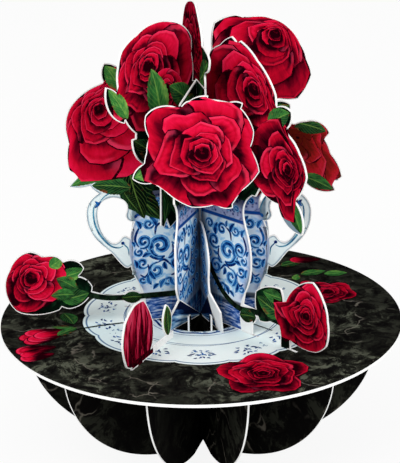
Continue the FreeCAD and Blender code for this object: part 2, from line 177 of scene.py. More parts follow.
class Finish(Nodes):
    """The nodes of one material."""

    def __init__(self, name, roughness=0.5):
        self.material = bpy.data.materials.new(name)
        self.material.use_nodes = True
        super().__init__(self.material.node_tree)
        self.shader = self.tree.nodes["Principled BSDF"]
        self.shader.inputs["Roughness"].default_value = roughness
        self.shader.inputs["Specular IOR Level"].default_value = 0.0

    def math(self, operation, a, b=None, c=None):
        return self.add("ShaderNodeMath", {0: a, 1: b, 2: c}, operation=operation)

    def times(self, a, b):
        return self.math("MULTIPLY", a, b)

    def plus(self, a, b):
        return self.math("ADD", a, b)

    def minus(self, a, b):
        return self.math("SUBTRACT", a, b)

    def over(self, a, b):
        return self.math("DIVIDE", a, b)

    def line(self, value, slope, start):
        return self.math("MULTIPLY_ADD", value, slope, start)

    def unsigned(self, value):
        return self.math("ABSOLUTE", value)

    def vector(self, operation, a, b=None, output=0):
        return self.add("ShaderNodeVectorMath", {0: a, 1: b}, output, operation=operation)

    def between(self, value, low, high):
        """0 below low and 1 above high, with a soft step, or the reverse where low is the greater."""
        return self.add("ShaderNodeMapRange", {"Value": value, "From Min": low, "From Max": high},
                        interpolation_type="SMOOTHSTEP")

    def mix(self, factor, a, b):
        a, b = [v if isinstance(v, bpy.types.NodeSocket) else (*v, 1.0) for v in (a, b)]
        return self.add("ShaderNodeMix", {0: factor, 6: a, 7: b}, 2, data_type="RGBA")

    def ramp(self, factor, stops):
        socket = self.add("ShaderNodeValToRGB", {0: factor})
        elements = socket.node.color_ramp.elements
        while len(elements) < len(stops):
            elements.new(0.5)
        for element, (place, colour) in zip(elements, stops):
            element.position = place
            element.color = (*colour, 1.0)
        return socket

    def noise(self, vector, scale, detail=3.0, roughness=0.55, distortion=0.0):
        return self.add("ShaderNodeTexNoise", {"Vector": vector, "Scale": scale, "Detail": detail,
                                               "Roughness": roughness, "Distortion": distortion})

    def parts(self, vector):
        node = self.add("ShaderNodeSeparateXYZ", {0: vector}).node
        return node.outputs[0], node.outputs[1], node.outputs[2]

    def join(self, x, y, z):
        return self.add("ShaderNodeCombineXYZ", {0: x, 1: y, 2: z})

    def place(self):
        return self.add("ShaderNodeTexCoord", output=3)

    def scaled(self, vector, share):
        socket = self.vector("SCALE", vector)
        socket.node.inputs["Scale"].default_value = share
        return socket

    def spine(self):
        """Radius from the spine and height above the table top."""
        x, y, z = self.parts(self.place())
        return self.vector("LENGTH", self.join(x, y, 0.0), None, 1), self.minus(z, TABLE_Z)

    def attribute(self, name, output):
        return self.add("ShaderNodeAttribute", output=output, attribute_name=name)

    def finish(self, colour, bump=None, depth=0.02 * MM):
        self.tree.links.new(colour, self.shader.inputs["Base Color"])
        if bump is not None:
            normal = self.add("ShaderNodeBump", {"Height": bump, "Distance": depth, "Strength": 0.6})
            self.tree.links.new(normal, self.shader.inputs["Normal"])
        return self.material


def card_fibre(f, place):
    """Faint tooth of uncoated card."""
    return f.noise(place, 2600.0, 2.0)


def on_print(f, place):
    """1 on the two wide faces of a leaf or rib, 0 on its cut edges. They all stand round the spine."""
    x, y = f.parts(place)[:2]
    normal = f.add("ShaderNodeNewGeometry", output=1)
    round_spine = f.vector("NORMALIZE", f.join(f.times(y, -1.0), x, 0.0))
    return f.between(f.unsigned(f.vector("DOT_PRODUCT", normal, round_spine, 1)), 0.6, 0.7)


def white_card():
    f = Finish("white_card", 0.62)
    place = f.place()
    tone = f.noise(place, 180.0, 3.0)
    colour = f.ramp(tone, [(0.3, srgb(232, 232, 230)), (0.7, srgb(246, 246, 244))])
    radius, height = f.spine()
    # Painted shade: near the spine and below the foliage the bare card is coloured navy, as if in shade
    # deep in the fold.
    painted_shade_at_spine = f.times(f.between(radius, 1.9 * MM, 1.5 * MM), f.between(height, 56.0 * MM, 50.0 * MM))
    colour = f.mix(painted_shade_at_spine, colour, srgb(16, 30, 58))
    return f.finish(colour, card_fibre(f, place))


def marble_colour(f, place, colours, cloudiness, size):
    """Black stone with broken clouds and a few thin veins."""
    warp = f.add("ShaderNodeTexNoise", {"Vector": place, "Scale": 60.0 / size, "Detail": 4.0}, 1)
    bent = f.vector("ADD", place, f.scaled(warp, 0.02 * size))
    clouds = f.noise(bent, 135.0 / size, 9.0, 0.74, 0.4)
    patches = f.noise(place, 34.0 / size, 3.0, 0.6)
    cloud = f.times(f.between(clouds, 0.51, 0.59), f.between(patches, 0.40, 0.60))
    faint = f.between(clouds, 0.4, 0.6)
    cells = f.add("ShaderNodeTexVoronoi", {"Vector": bent, "Scale": 70.0 / size},
                  feature="DISTANCE_TO_EDGE")
    broken = f.between(f.noise(place, 60.0 / size, 3.0), 0.56, 0.64)
    thin = f.times(f.between(cells, 0.03, 0.0), broken)
    stone = f.mix(f.times(faint, 0.16 * cloudiness), colours.marble, colours.cloud)
    stone = f.mix(f.times(cloud, 0.8 * cloudiness), stone, colours.cloud)
    return f.mix(f.times(thin, 0.5), stone, colours.vein)


def rib_finish(colours):
    f = Finish("rib_marble", 0.42)
    place = f.place()
    stone = marble_colour(f, place, colours, 0.15, 1.7)
    white = (0.86, 0.86, 0.85)
    # Painted shade: the ribs' inner edges by the spine take the marble's colour instead of white card, as
    # if in shade.
    painted_shade_by_spine = f.between(f.spine()[0], 14.6 * MM, 14.2 * MM)
    colour = f.mix(f.math("MAXIMUM", on_print(f, place), painted_shade_by_spine), white, stone)
    return f.finish(colour, card_fibre(f, place), 0.01 * MM)


def plate_pattern(f, flat, angle, from_middle, inward):
    """Lines along the rim and the well of the plate, with dabs between them and round its middle."""
    line = f.times(f.between(inward, 0.9 * MM, 1.2 * MM), f.between(inward, 1.9 * MM, 1.6 * MM))
    well = f.unsigned(f.minus(from_middle, 31.5 * MM))
    line = f.math("MAXIMUM", line, f.between(well, 0.32 * MM, 0.14 * MM))
    bend = f.scaled(f.add("ShaderNodeTexNoise", {"Vector": flat, "Scale": 900.0}, 1), 3 * MM)
    dabs = f.add("ShaderNodeTexVoronoi", {"Vector": f.vector("ADD", flat, bend), "Scale": 400.0})
    groups = f.between(f.math("SINE", f.times(angle, 11.0)), 0.25, 0.55)
    off_band = f.unsigned(f.minus(from_middle, 39.0 * MM))
    band = f.times(f.times(f.between(dabs, 0.36, 0.26), groups), f.between(off_band, 3.6 * MM, 2.4 * MM))
    near_foot = f.times(f.between(dabs, 0.5, 0.4), f.between(from_middle, 21.0 * MM, 19.6 * MM))
    return f.math("MAXIMUM", line, f.math("MAXIMUM", band, near_foot))


def table_finish(colours):
    """Marble with a printed plate round the foot of the vase, and white card at the cut edges."""
    f = Finish("table_marble", 0.42)
    place = f.place()
    stone = marble_colour(f, place, colours, 0.72, 1.0)
    x, y = f.parts(place)[:2]
    flat = f.join(x, y, 0.0)
    from_middle = f.vector("DISTANCE", flat, (1.2 * MM, 1.5 * MM, 0.0), 1)
    angle = f.math("ARCTAN2", y, x)
    wave = f.math("POWER", f.unsigned(f.math("SINE", f.times(angle, 7.0))), 0.6)
    rim = f.line(wave, 1.6 * MM, colours.plate_radius)
    inward = f.minus(rim, from_middle)
    porcelain = f.mix(f.between(f.noise(place, 45.0, 2.0), 0.4, 0.7), colours.plate, srgb(218, 236, 238))
    # Painted shadow round the foot of the vase: the plate turns greyer in towards it.
    shade = f.between(from_middle, 20 * MM, 31 * MM)
    porcelain = f.mix(shade, srgb(222, 236, 240), porcelain)
    pattern = plate_pattern(f, flat, angle, from_middle, inward)
    porcelain = f.mix(f.times(pattern, 0.85), porcelain, colours.line)
    top = f.mix(f.between(inward, -0.1 * MM, 0.1 * MM), stone, porcelain)
    dark_rim = f.times(f.between(inward, -1.4 * MM, -0.2 * MM), f.between(inward, 0.0, -0.1 * MM))
    top = f.mix(f.times(dark_rim, 0.6), top, (0.004, 0.004, 0.005))
    normal_z = f.parts(f.add("ShaderNodeNewGeometry", output=1))[2]
    colour = f.mix(f.between(f.unsigned(normal_z), 0.6, 0.7), (0.88, 0.88, 0.87), top)
    below = f.between(normal_z, -0.5, -0.7)
    colour = f.mix(below, colour, marble_colour(f, place, colours, 0.3, 1.2))
    return f.finish(colour, card_fibre(f, place), 0.01 * MM)


def petal_finish(name, colours, streaks=0.2, tint_and_shade=None):
    """Petals lie along their own attribute: x runs across, y from the heart outwards, z to the rim."""
    f = Finish(name, 0.5)
    across, outward, rim = f.parts(f.attribute("petal", 1))
    mood = f.attribute("mood", 2)
    grain = f.join(f.times(across, 4.5), f.times(outward, 0.8), f.times(mood, 41.0))
    streak = f.times(f.minus(f.noise(grain, 2.4, 4.0), 0.5), streaks * 2)
    broad = f.join(f.times(across, 0.9), f.times(outward, 0.9), f.times(mood, 73.0))
    patch = f.times(f.minus(f.noise(broad, 1.3, 2.0), 0.5), 0.8)
    lit = f.line(f.between(outward, -0.2, 0.9), 0.72, -0.07)
    lit = f.plus(lit, f.line(mood, 0.7, -0.33))
    lit = f.plus(f.plus(lit, streak), patch)
    flank = f.between(f.unsigned(across), 0.3, 1.0)
    lit = f.minus(lit, f.times(flank, 0.26))
    rolled = f.times(f.between(outward, 0.05, 0.5), f.between(patch, -0.1, 0.06))
    crease = f.times(f.between(rim, 0.62, 0.82), f.between(rim, 0.9, 0.84))
    lit = f.minus(lit, f.times(f.times(crease, rolled), 0.3))
    colour = f.ramp(lit, [(0.0, colours.deep), (0.2, colours.dark), (0.48, colours.body),
                          (0.8, colours.bright)])
    lip = f.times(f.between(rim, 0.78, 0.94), rolled)
    colour = f.mix(f.times(lip, f.line(mood, 0.6, -0.05)), colour, colours.lip)
    # Half of this colour is mixed in: a brown tint for the reverse of the petals, and near black as painted
    # shade for the rose at the top, which stands in shade.
    if tint_and_shade:
        colour = f.mix(0.5, colour, tint_and_shade)
    return f.finish(colour)


def streaked_finish(colours):
    """A closed bud seen from the side, with streaks from its base to its tip."""
    f = Finish("bud_streaks", 0.5)
    radius, height = f.spine()
    grain = f.join(f.times(radius, 520.0), f.times(height, 55.0), 2.0)
    streak = f.noise(grain, 1.0, 4.0, 0.6, 0.4)
    lit = f.line(f.between(height, 1.0 * MM, 20.0 * MM), 0.1, streak)
    return f.finish(f.ramp(lit, [(0.38, colours.deep), (0.5, colours.dark), (0.58, srgb(170, 18, 50)),
                                 (0.7, srgb(208, 66, 98))]))


def shadow_finish(colours):
    f = Finish("petal_shadow", 0.5)
    grain = f.noise(f.place(), 900.0, 2.0)
    return f.finish(f.mix(f.between(grain, 0.4, 0.7), colours.deep, colours.dark))


def green_finish(name, colours, dimness):
    """Leaves have x from side to side and y from base to tip on their attribute."""
    f = Finish(name, 0.42)
    across, along = f.parts(f.attribute("petal", 1))[:2]
    mood = f.attribute("mood", 2)
    side = f.unsigned(across)
    cloud = f.noise(f.join(across, f.times(along, 2.0), f.times(mood, 31.0)), 2.2, 4.0)
    lit = f.plus(f.times(cloud, 0.9), f.line(mood, 0.6, -0.35 - dimness))
    lit = f.plus(lit, f.times(across, 0.13))
    colour = f.ramp(lit, [(0.05, colours.shade), (0.3, colours.dark), (0.6, colours.green),
                          (0.92, colours.light)])
    turns = f.line(side, -3.2, f.times(along, 9.0))
    veins = f.between(f.math("SINE", f.times(turns, 6.283)), 0.72, 1.0)
    rib = f.between(side, 0.09, 0.02)
    lines = f.times(f.math("MAXIMUM", f.times(veins, 0.45), rib), 0.5 - dimness * 0.4)
    colour = f.mix(lines, colour, colours.light)
    blush = f.times(f.between(f.noise(f.place(), 260.0, 2.0), 0.55, 0.68), f.between(side, 0.4, 1.0))
    colour = f.mix(f.times(blush, 0.7 - dimness), colour, colours.blush)
    return f.finish(colour)


def foliage_finish(colours):
    """Deep green between the flowers."""
    f = Finish("foliage_shade", 0.45)
    place = f.place()
    clouds = f.noise(place, 120.0, 5.0, 0.6, 0.6)
    return f.finish(f.ramp(clouds, [(0.35, srgb(3, 8, 6)), (0.52, colours.shade), (0.72, colours.dark)]))


def corner_finish(name, darkness, reach):
    """Pale porcelain with dark streaks that fan out from the foot of the spine, up to the reach."""
    f = Finish(name, 0.5)
    x = f.parts(f.place())[0]
    radius, height = f.spine()
    slope = f.over(height, radius)
    streaks = f.noise(f.join(f.times(slope, 5.0), f.times(x, 90.0), 3.0), 1.4, 4.0)
    tone = f.plus(streaks, f.line(f.between(slope, 0.62, 0.3), 0.22, -darkness))
    print_colour = f.ramp(tone, [(0.42, srgb(10, 18, 44)), (0.52, srgb(30, 66, 118)),
                                 (0.62, srgb(120, 168, 206)), (0.74, srgb(222, 236, 242))])
    return f.finish(f.mix(f.between(radius, reach, reach * 1.02), print_colour, srgb(240, 241, 240)))


def paint_finish(name, dark, light):
    """Brush paint whose tone wanders between dark and light in fine noise."""
    f = Finish(name, 0.42)
    tone = f.noise(f.place(), 420.0, 3.0)
    return f.finish(f.mix(f.between(tone, 0.4, 0.64), dark, light))


# Outline of the vase as shares of its height and of its radius, which are in millimetres
VASE_OUTLINE = ((0.0, 0.66), (0.13, 0.64), (0.2, 0.66), (0.27, 0.7), (0.5, 0.81), (0.66, 0.77),
                (0.79, 0.7), (1.0, 0.88))
VASE_HEIGHT, VASE_RADIUS = 60.0, 35.0


def vase_outline(f, height):
    """The vase's radius at each height."""
    outline = f.add("ShaderNodeFloatCurve", {"Value": f.over(height, VASE_HEIGHT)})
    curve = outline.node.mapping.curves[0]
    while len(curve.points) < len(VASE_OUTLINE):
        curve.points.new(0.5, 0.5)
    for spot, stop in zip(curve.points, VASE_OUTLINE):
        spot.location = stop
    outline.node.mapping.update()
    return f.times(outline, VASE_RADIUS)


def vase_finish(name, colours, dark_reach):
    """Blue and white porcelain, drawn on the radius from the spine and the height above the table."""
    f = Finish(name, 0.4)
    radius, height = (f.over(length, MM) for length in f.spine())
    plain = f.join(radius, height, 0.0)
    tint = f.noise(plain, 0.16, 3.0)
    patch = f.noise(plain, 0.3, 2.0)
    ground = f.mix(f.times(f.between(patch, 0.5, 0.66), 0.7), colours.glaze, colours.wash)
    share = f.over(radius, vase_outline(f, height))
    edge = f.between(share, 0.66, 1.0)
    painted = f.mix(f.times(edge, f.line(tint, 0.5, 0.0)), ground, colours.lilac)
    mottle = f.add("ShaderNodeTexVoronoi", {"Vector": plain, "Scale": 0.75})
    collar = f.mix(f.between(mottle, 0.2, 0.6), srgb(46, 64, 128), srgb(166, 176, 214))
    painted = f.mix(f.between(height, 45.4, 46.2), painted, collar)
    band = f.unsigned(f.minus(height, 45.0))
    painted = f.mix(f.between(band, 1.0, 0.5), painted, colours.cobalt)
    stripes = f.noise(f.join(f.times(radius, 0.25), f.times(height, 1.2), 4.0), 1.0, 3.0)
    foot = f.ramp(stripes, [(0.3, colours.navy), (0.42, colours.cobalt), (0.52, srgb(96, 130, 190)),
                            (0.62, srgb(206, 216, 236))])
    painted = f.mix(f.between(height, 11.0, 10.0), painted, foot)
    dusk = f.times(f.between(height, 12.0, 11.0), f.between(height, 8.6, 9.6))
    painted = f.mix(f.times(dusk, 0.85), painted, srgb(14, 24, 34))
    spine_streak = f.noise(f.join(f.times(radius, 1.1), f.times(height, 0.16), 9.0), 1.0, 4.0)
    reach = f.line(height, -dark_reach / 58.0, dark_reach)
    depth = f.between(f.over(radius, reach), 1.0, 0.35)
    streaky = f.ramp(spine_streak, [(0.35, colours.navy), (0.52, srgb(18, 50, 98)),
                                    (0.66, srgb(60, 124, 170))])
    painted = f.mix(f.times(depth, 0.86), painted, streaky)
    # Painted shadow: the top of the vase, from 49 to 53 mm, darkens to near black under the flowers.
    painted_shadow_under_flowers = f.between(height, 49.0, 53.0)
    painted = f.mix(f.times(painted_shadow_under_flowers, 0.8), painted, srgb(8, 10, 20))
    rim_shade = f.times(f.between(share, 0.9, 1.0), f.between(height, 12.0, 14.0))
    painted = f.mix(f.times(rim_shade, 0.5), painted, srgb(40, 62, 134))
    bare = f.times(f.between(share, 0.99, 1.01), f.between(height, 16.0, 14.0))
    painted = f.mix(bare, painted, srgb(240, 242, 241))
    inner = f.parts(f.attribute("petal", 1))[2]
    glow = f.plus(f.times(inner, 0.8), f.line(tint, 0.8, -0.4))
    porcelain = f.ramp(glow, [(0.05, srgb(116, 138, 152)), (0.35, srgb(176, 196, 206)),
                              (0.7, srgb(228, 240, 240))])
    handle = f.times(f.between(share, 0.99, 1.01), f.between(height, 16.0, 19.0))
    handle = f.times(handle, f.between(height, 62.0, 61.0))
    painted = f.mix(handle, painted, porcelain)
    return f.finish(painted)


# Print, laid on a sheet of card

ROSE_STEPS = 144            # directions in which a rose looks for the edge of its card
PETAL_DISC = (26, 3)        # segments and rings of the disc that a petal is bent from
SHADOW_GROWS = 1.05         # a petal's shadow reaches past it by this much
RING_LAYERS = 8             # layers of print kept for one ring of a rose
INNER_ROUND = 0.35          # how far the inner petals follow a circle rather than the card's edge
OUTER_RING = 0.9            # share of the rose's reach beyond which petals follow the card's edge
TEETH, TOOTH = 11, 0.07     # teeth along a leaf's edge, and their height as a share of its width
DRAWN_IN = 0.2              # least share of its size that a leaf is drawn in to
SCROLL_STEPS = 12           # points in one turn of a scroll
# Rings of petals from the outside in: how many, distance of their middles from the heart, half of
# their height as shares of the rose's reach, and half of their width as a share of their spacing
PETAL_RINGS = (
    (5, 0.67, 0.43, 0.74), (5, 0.46, 0.30, 0.72), (4, 0.33, 0.20, 0.74), (3, 0.235, 0.145, 0.78),
    (3, 0.155, 0.105, 0.80), (2, 0.085, 0.075, 0.90),
)
DISCS = {}                  # discs already made, by their segments and rings


class Sheet:
    """The plane of one flat piece of card: x is the radius from the spine, y the height above the table."""

    def __init__(self, node, azimuth, forward=0.0):
        turn = math.radians(azimuth)
        along = Vector((math.sin(turn), -math.cos(turn), 0.0))
        up = Vector((0.0, 0.0, 1.0))
        facing = Matrix((along, up, along.cross(up))).transposed().to_4x4()
        self.node = node
        self.matrix = Matrix.Translation((0.0, -forward, TABLE_Z)) @ facing
        self.top = LEAF_T / 2
        self.two_sided = True

    def card_face(self):
        """The wide face of the card, in the sheet's own plane, with a bare margin along its cut edges."""
        bm = bmesh.new()
        bm.from_mesh(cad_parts[self.node].data)
        bm.transform(self.matrix.inverted())
        bmesh.ops.remove_doubles(bm, verts=bm.verts, dist=WELD)
        bm.normal_update()
        other = [face for face in bm.faces if face.normal.z < WIDE_FACE]
        bmesh.ops.delete(bm, geom=other, context="FACES")
        rim = bmesh.ops.inset_region(bm, faces=bm.faces[:], thickness=MARGIN, use_boundary=True,
                                     use_even_offset=True)
        bmesh.ops.delete(bm, geom=rim["faces"], context="FACES")
        bmesh.ops.dissolve_limit(bm, angle_limit=STRAIGHT, verts=bm.verts[:], edges=bm.edges[:])
        bmesh.ops.triangulate(bm, faces=bm.faces[:])
        for vert in bm.verts:
            if abs(vert.co.x) < SPINE_EDGE:
                vert.co.x -= MARGIN
        if self.node in CREASES:
            crease = Vector(CREASES[self.node])
            across = Vector((crease.y, -crease.x)).normalized()
            for vert in bm.verts:
                beyond = vert.co.xy.dot(across)
                if abs(beyond) < CREASE_REACH and vert.co.x < crease.x * MM:
                    vert.co.xy -= across * beyond
        return bm


class TableSheet(Sheet):
    """The table top, looked at from above: x to the right and y to the back."""

    def __init__(self):
        self.node = "table_top"
        self.matrix = Matrix.Translation((0.0, 0.0, TABLE_Z))
        self.top = 0.0
        self.two_sided = False


class Print:
    """Flat coloured shapes on one sheet, each a little above the one before."""

    def __init__(self, sheet, name):
        self.sheet = sheet
        self.name = name
        self.finishes = []
        self.bm = bmesh.new()
        self.petal = self.bm.verts.layers.float_vector.new("petal")
        self.mood = self.bm.verts.layers.float.new("mood")
        self.layer = 1
        face = sheet.card_face()
        self.rim = [(e.verts[0].co.xy.copy(), e.verts[1].co.xy.copy()) for e in face.edges if e.is_boundary]
        self.tree = BVHTree.FromBMesh(face)
        face.free()

    def index(self, finish):
        if finish not in self.finishes:
            self.finishes.append(finish)
        return self.finishes.index(finish)

    def inside(self, x, y):
        hit = self.tree.ray_cast(Vector((x, y, 1.0)), Vector((0.0, 0.0, -1.0)))
        return hit[0] is not None

    def exit(self, x, y, angle, most):
        """How far one can go from a point before the print's edge, up to the most."""
        start = Vector((x, y))
        end = start + Vector((math.cos(angle), math.sin(angle))) * most
        nearest = most
        for a, b in self.rim:
            hit = intersect_line_line_2d(start, end, a, b)
            if hit is not None:
                nearest = min(nearest, (hit - start).length)
        return nearest

    def on_handle(self, x, y):
        return self.sheet.node in HANDLE_LEAVES and x > HANDLE_X and HANDLE_Z[0] < y < HANDLE_Z[1]

    def base(self, cuts, finish_at):
        """Cover the card's face, cut along lines, with the finish that finish_at names for each part."""
        face = self.sheet.card_face()
        for point, normal in cuts:
            geometry = face.verts[:] + face.edges[:] + face.faces[:]
            bmesh.ops.bisect_plane(face, geom=geometry, dist=WELD / 10,
                                   plane_co=(point[0] * MM, point[1] * MM, 0.0), plane_no=(*normal, 0.0))
        inner = face.verts.layers.float_vector.new("petal")
        handle = [part for part in face.faces if self.on_handle(*(part.calc_center_median() / MM).xy)]
        if handle:
            bmesh.ops.inset_region(face, faces=handle, thickness=HANDLE_SHADE, use_boundary=True,
                                   use_even_offset=True)
            for vert in {vert for part in handle for vert in part.verts}:
                vert[inner] = (0.0, 0.0, 1.0)
        bare = []
        for part in face.faces:
            middle = part.calc_center_median() / MM
            finish = finish_at(middle.x, middle.y)
            if finish is None:
                bare.append(part)
            else:
                part.material_index = self.index(finish)
        bmesh.ops.delete(face, geom=bare, context="FACES")
        for vert in face.verts:
            vert.co.z = self.sheet.top + INK
        mesh = bpy.data.meshes.new("base")
        face.to_mesh(mesh)
        face.free()
        self.bm.from_mesh(mesh)
        bpy.data.meshes.remove(mesh)

    def shape(self, verts, place, finish, layer, mood):
        """Move the verts of a new flat shape to where place puts each, and paint it."""
        height = self.sheet.top + (2 + layer) * INK
        faces = set()
        for vert in verts:
            x, y, marks = place(vert.co.x, vert.co.y)
            vert.co = (x, y, height)
            vert[self.petal] = marks
            vert[self.mood] = mood
            faces.update(vert.link_faces)
        index = self.index(finish)
        for part in faces:
            part.material_index = index
            part.normal_update()
        turned = [part for part in faces if part.normal.z < 0.0]
        bmesh.ops.reverse_faces(self.bm, faces=turned)

    def disc(self, segments, rings):
        """A unit disc with rings of faces round its middle."""
        if (segments, rings) not in DISCS:
            disc = bmesh.new()
            bmesh.ops.create_circle(disc, cap_ends=True, cap_tris=True, segments=segments, radius=1.0)
            middle = min(disc.verts, key=lambda v: v.co.length)
            bmesh.ops.subdivide_edges(disc, edges=list(middle.link_edges), cuts=rings - 1)
            DISCS[segments, rings] = bpy.data.meshes.new("disc")
            disc.to_mesh(DISCS[segments, rings])
            disc.free()
        before = len(self.bm.verts)
        self.bm.from_mesh(DISCS[segments, rings], face_normals=False, vertex_normals=False)
        self.bm.verts.ensure_lookup_table()
        return self.bm.verts[before:]

    def leaf(self, base, tip, width, finish, mood=0.6, bow=0.12):
        """A pointed leaf with a saw edge from its base to its tip, in millimetres."""
        self.layer += 1
        length = math.dist(base, tip)
        made = bmesh.ops.create_grid(self.bm, x_segments=22, y_segments=4, size=0.5)

        def place(x, y):
            along = x + 0.5
            side = 2 * y
            saw = 1.0 + TOOTH * abs(math.sin(along * TEETH * math.pi)) * abs(side)
            half = width / 2 * math.sin(math.pi * along ** 0.85) ** 0.8 * saw if 0 < along < 1 else 0.0
            out = side * half + bow * length * 0.25 * math.sin(math.pi * along)
            return *beside(base, tip, along, out), (side, along, 0.0)

        self.shape(made["verts"], place, finish, self.layer, mood)
        if self.sheet.two_sided:
            self.keep_on_card(made["verts"])

    def leaves(self, finish, *rows):
        """Leaves of one finish, each as base, tip, width and mood."""
        for base, tip, width, mood in rows:
            self.leaf(base, tip, width, finish, mood)

    def keep_on_card(self, verts):
        """Draw the verts of a shape that lie off the card in towards its middle."""
        middle = sum((vert.co for vert in verts), Vector()) / len(verts)
        for vert in verts:
            share = 1.0
            while share > DRAWN_IN and not self.inside(*middle.lerp(vert.co, share).xy):
                share -= 0.05
            vert.co = middle.lerp(vert.co, share)

    def scroll(self, middle, radius, start, turns, hand, width):
        """A painted scroll that winds in to its middle, with its outer end at the start angle."""
        points = []
        steps = turns * SCROLL_STEPS
        for step in range(int(steps) + 1):
            wound = step / steps
            angle = math.radians(start) + hand * wound * turns * math.tau
            away = radius * (1 - 0.78 * wound ** 0.85)
            points.append((middle[0] + away * math.cos(angle), middle[1] + away * math.sin(angle)))
        self.brush(points, width * 2.5, "wash", steps=2)
        self.brush(points, width, "cobalt", steps=2)
        ax, ay = points[-1]
        self.leaf((ax - width * 0.9, ay), (ax + width * 0.9, ay), width * 1.5, "cobalt", bow=0.0)

    def loose_petal(self, base, tip, width, mood):
        """A loose petal, narrow at its base and blunt at its tip, over its own shadow."""
        for grow, finish in ((SHADOW_GROWS, "shadow"), (1.0, "petal")):
            self.layer += 1

            def place(x, y):
                along = (y * grow + 1) / 2
                side = x * grow * width / 2 * (0.55 + 0.75 * max(along, 0.0))
                return *beside(base, tip, along, side), (x, y, math.hypot(x, y))

            self.shape(self.disc(*PETAL_DISC), place, finish, self.layer, mood)

    def brush(self, points, width, finish, taper=True, steps=8):
        """A painted line through the points, thin at its ends."""
        self.layer += 1
        path = smooth_path(points, steps)
        made = bmesh.ops.create_grid(self.bm, x_segments=len(path) - 1, y_segments=1, size=0.5)

        def place(x, y):
            share = x + 0.5
            index = round(share * (len(path) - 1))
            here = path[index]
            ahead = path[min(index + 1, len(path) - 1)]
            behind = path[max(index - 1, 0)]
            run = (ahead - behind).normalized()
            half = width * y * (math.sin(math.pi * min(max(share, 0.04), 0.96)) ** 0.5 if taper else 1.0)
            return (here.x - run.y * half) * MM, (here.y + run.x * half) * MM, (2 * y, share, 0.0)

        self.shape(made["verts"], place, finish, self.layer, 0.5)

    def rose(self, heart, radius, turn, seed, finish="petal", light=120.0, lobes=0.05, rings=6, tone=0.0):
        """A full rose: rings of petals, drawn from the outside in, that fill the card round the heart."""
        dice = random.Random(seed)
        hx, hy = heart[0] * MM, heart[1] * MM
        reach = []
        for step in range(ROSE_STEPS):
            angle = step * math.tau / ROSE_STEPS
            point = 1.0 - lobes * (1.0 - abs(math.cos(2.5 * (angle - math.radians(turn)))) ** 1.4)
            reach.append(self.exit(hx, hy, angle, radius * point * MM))
        mean = sum(reach) / ROSE_STEPS

        def at(rho, theta):
            share = theta % math.tau / math.tau * ROSE_STEPS
            low = int(share) % ROSE_STEPS
            part = share - int(share)
            far = reach[low] * (1 - part) + reach[(low + 1) % ROSE_STEPS] * part
            rho = min(rho, 1.0)
            rounder = mean * (1 - rho) + far * rho
            blended = rounder * INNER_ROUND + far * (1 - INNER_ROUND)
            span = min(rounder, far) if rho > OUTER_RING else blended
            distance = min(rho * span, far)
            return hx + distance * math.cos(theta), hy + distance * math.sin(theta)

        def whole(x, y):
            px, py = at(math.hypot(x, y), math.atan2(y, x))
            return px, py, (0.0, 0.2, 0.0)

        self.layer += 2
        self.shape(self.disc(ROSE_STEPS, 3), whole, finish, self.layer, 0.15)
        for ring, (count, distance, height, width) in enumerate(PETAL_RINGS[:rings]):
            for number in range(count):
                spread = math.tau / count
                place = number + 0.5 * (ring % 2) + dice.uniform(-0.12, 0.12)
                theta = math.radians(turn) + spread * place
                here = distance * dice.uniform(0.95, 1.05)
                tall = height * dice.uniform(0.92, 1.08)
                wide = width * spread * dice.uniform(0.92, 1.12)
                lit = math.cos(theta - math.radians(light))
                mood = min(1.0, max(0.0, 0.6 + tone + 0.2 * lit - 0.035 * ring + dice.uniform(-0.14, 0.14)))
                phase = 7.0 * dice.random()
                curl = dice.uniform(-0.18, 0.18)
                swirl = dice.uniform(0.1, 0.35)
                last_apart = number == count - 1 and count % 3 == 1
                layer = self.layer + 2 + number % 3 * 2 + last_apart

                def petal(grow):
                    def place(x, y):
                        lift = y * grow
                        side = x * grow
                        point = 0.14 * (1 - abs(side)) ** 2 if y > 0 else 0.0
                        ripple = 0.05 * math.sin(5 * side + phase) if y > 0 else 0.0
                        bent = 0.45 * here * side * side + swirl * side
                        rho = here + tall * (lift * (1 + point + ripple) - bent)
                        px, py = at(max(rho, 0.0), theta + side * wide + curl * lift)
                        return px, py, (x, y, math.hypot(x, y))
                    return place

                self.shape(self.disc(PETAL_DISC[0], 1), petal(SHADOW_GROWS), "shadow", layer - 1, mood)
                self.shape(self.disc(*PETAL_DISC), petal(1.0), finish, layer, mood)
            self.layer += RING_LAYERS

        def pupil(x, y):
            return *at(0.035 * math.hypot(x, y), math.atan2(y, x)), (0.0, 0.0, 0.0)

        self.shape(self.disc(12, 1), pupil, "shadow", self.layer + 1, 0.2)
        self.layer += 2

    def lay(self, slot):
        """Turn the print into an object on its card, on both sides where the sheet has two."""
        if self.sheet.two_sided:
            copy = bmesh.ops.duplicate(self.bm, geom=self.bm.verts[:] + self.bm.edges[:] + self.bm.faces[:])
            verts = [g for g in copy["geom"] if isinstance(g, bmesh.types.BMVert)]
            faces = [g for g in copy["geom"] if isinstance(g, bmesh.types.BMFace)]
            bmesh.ops.scale(self.bm, vec=(1.0, 1.0, -1.0), verts=verts)
            bmesh.ops.reverse_faces(self.bm, faces=faces)
        self.bm.transform(self.sheet.matrix)
        add_piece(self.bm, self.name, [FINISH_NAMES[finish] for finish in self.finishes])


def add_mesh(bm, name, finishes):
    """A new object with the mesh and finishes. The mesh is given up."""
    mesh = bpy.data.meshes.new(name)
    bm.to_mesh(mesh)
    bm.free()
    for finish in finishes:
        mesh.materials.append(bpy.data.materials[finish])
    made = bpy.data.objects.new(name, mesh)
    bpy.context.collection.objects.link(made)
    return made


def add_piece(bm, name, finishes):
    piece = add_mesh(bm, name, finishes)
    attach(piece, "root")


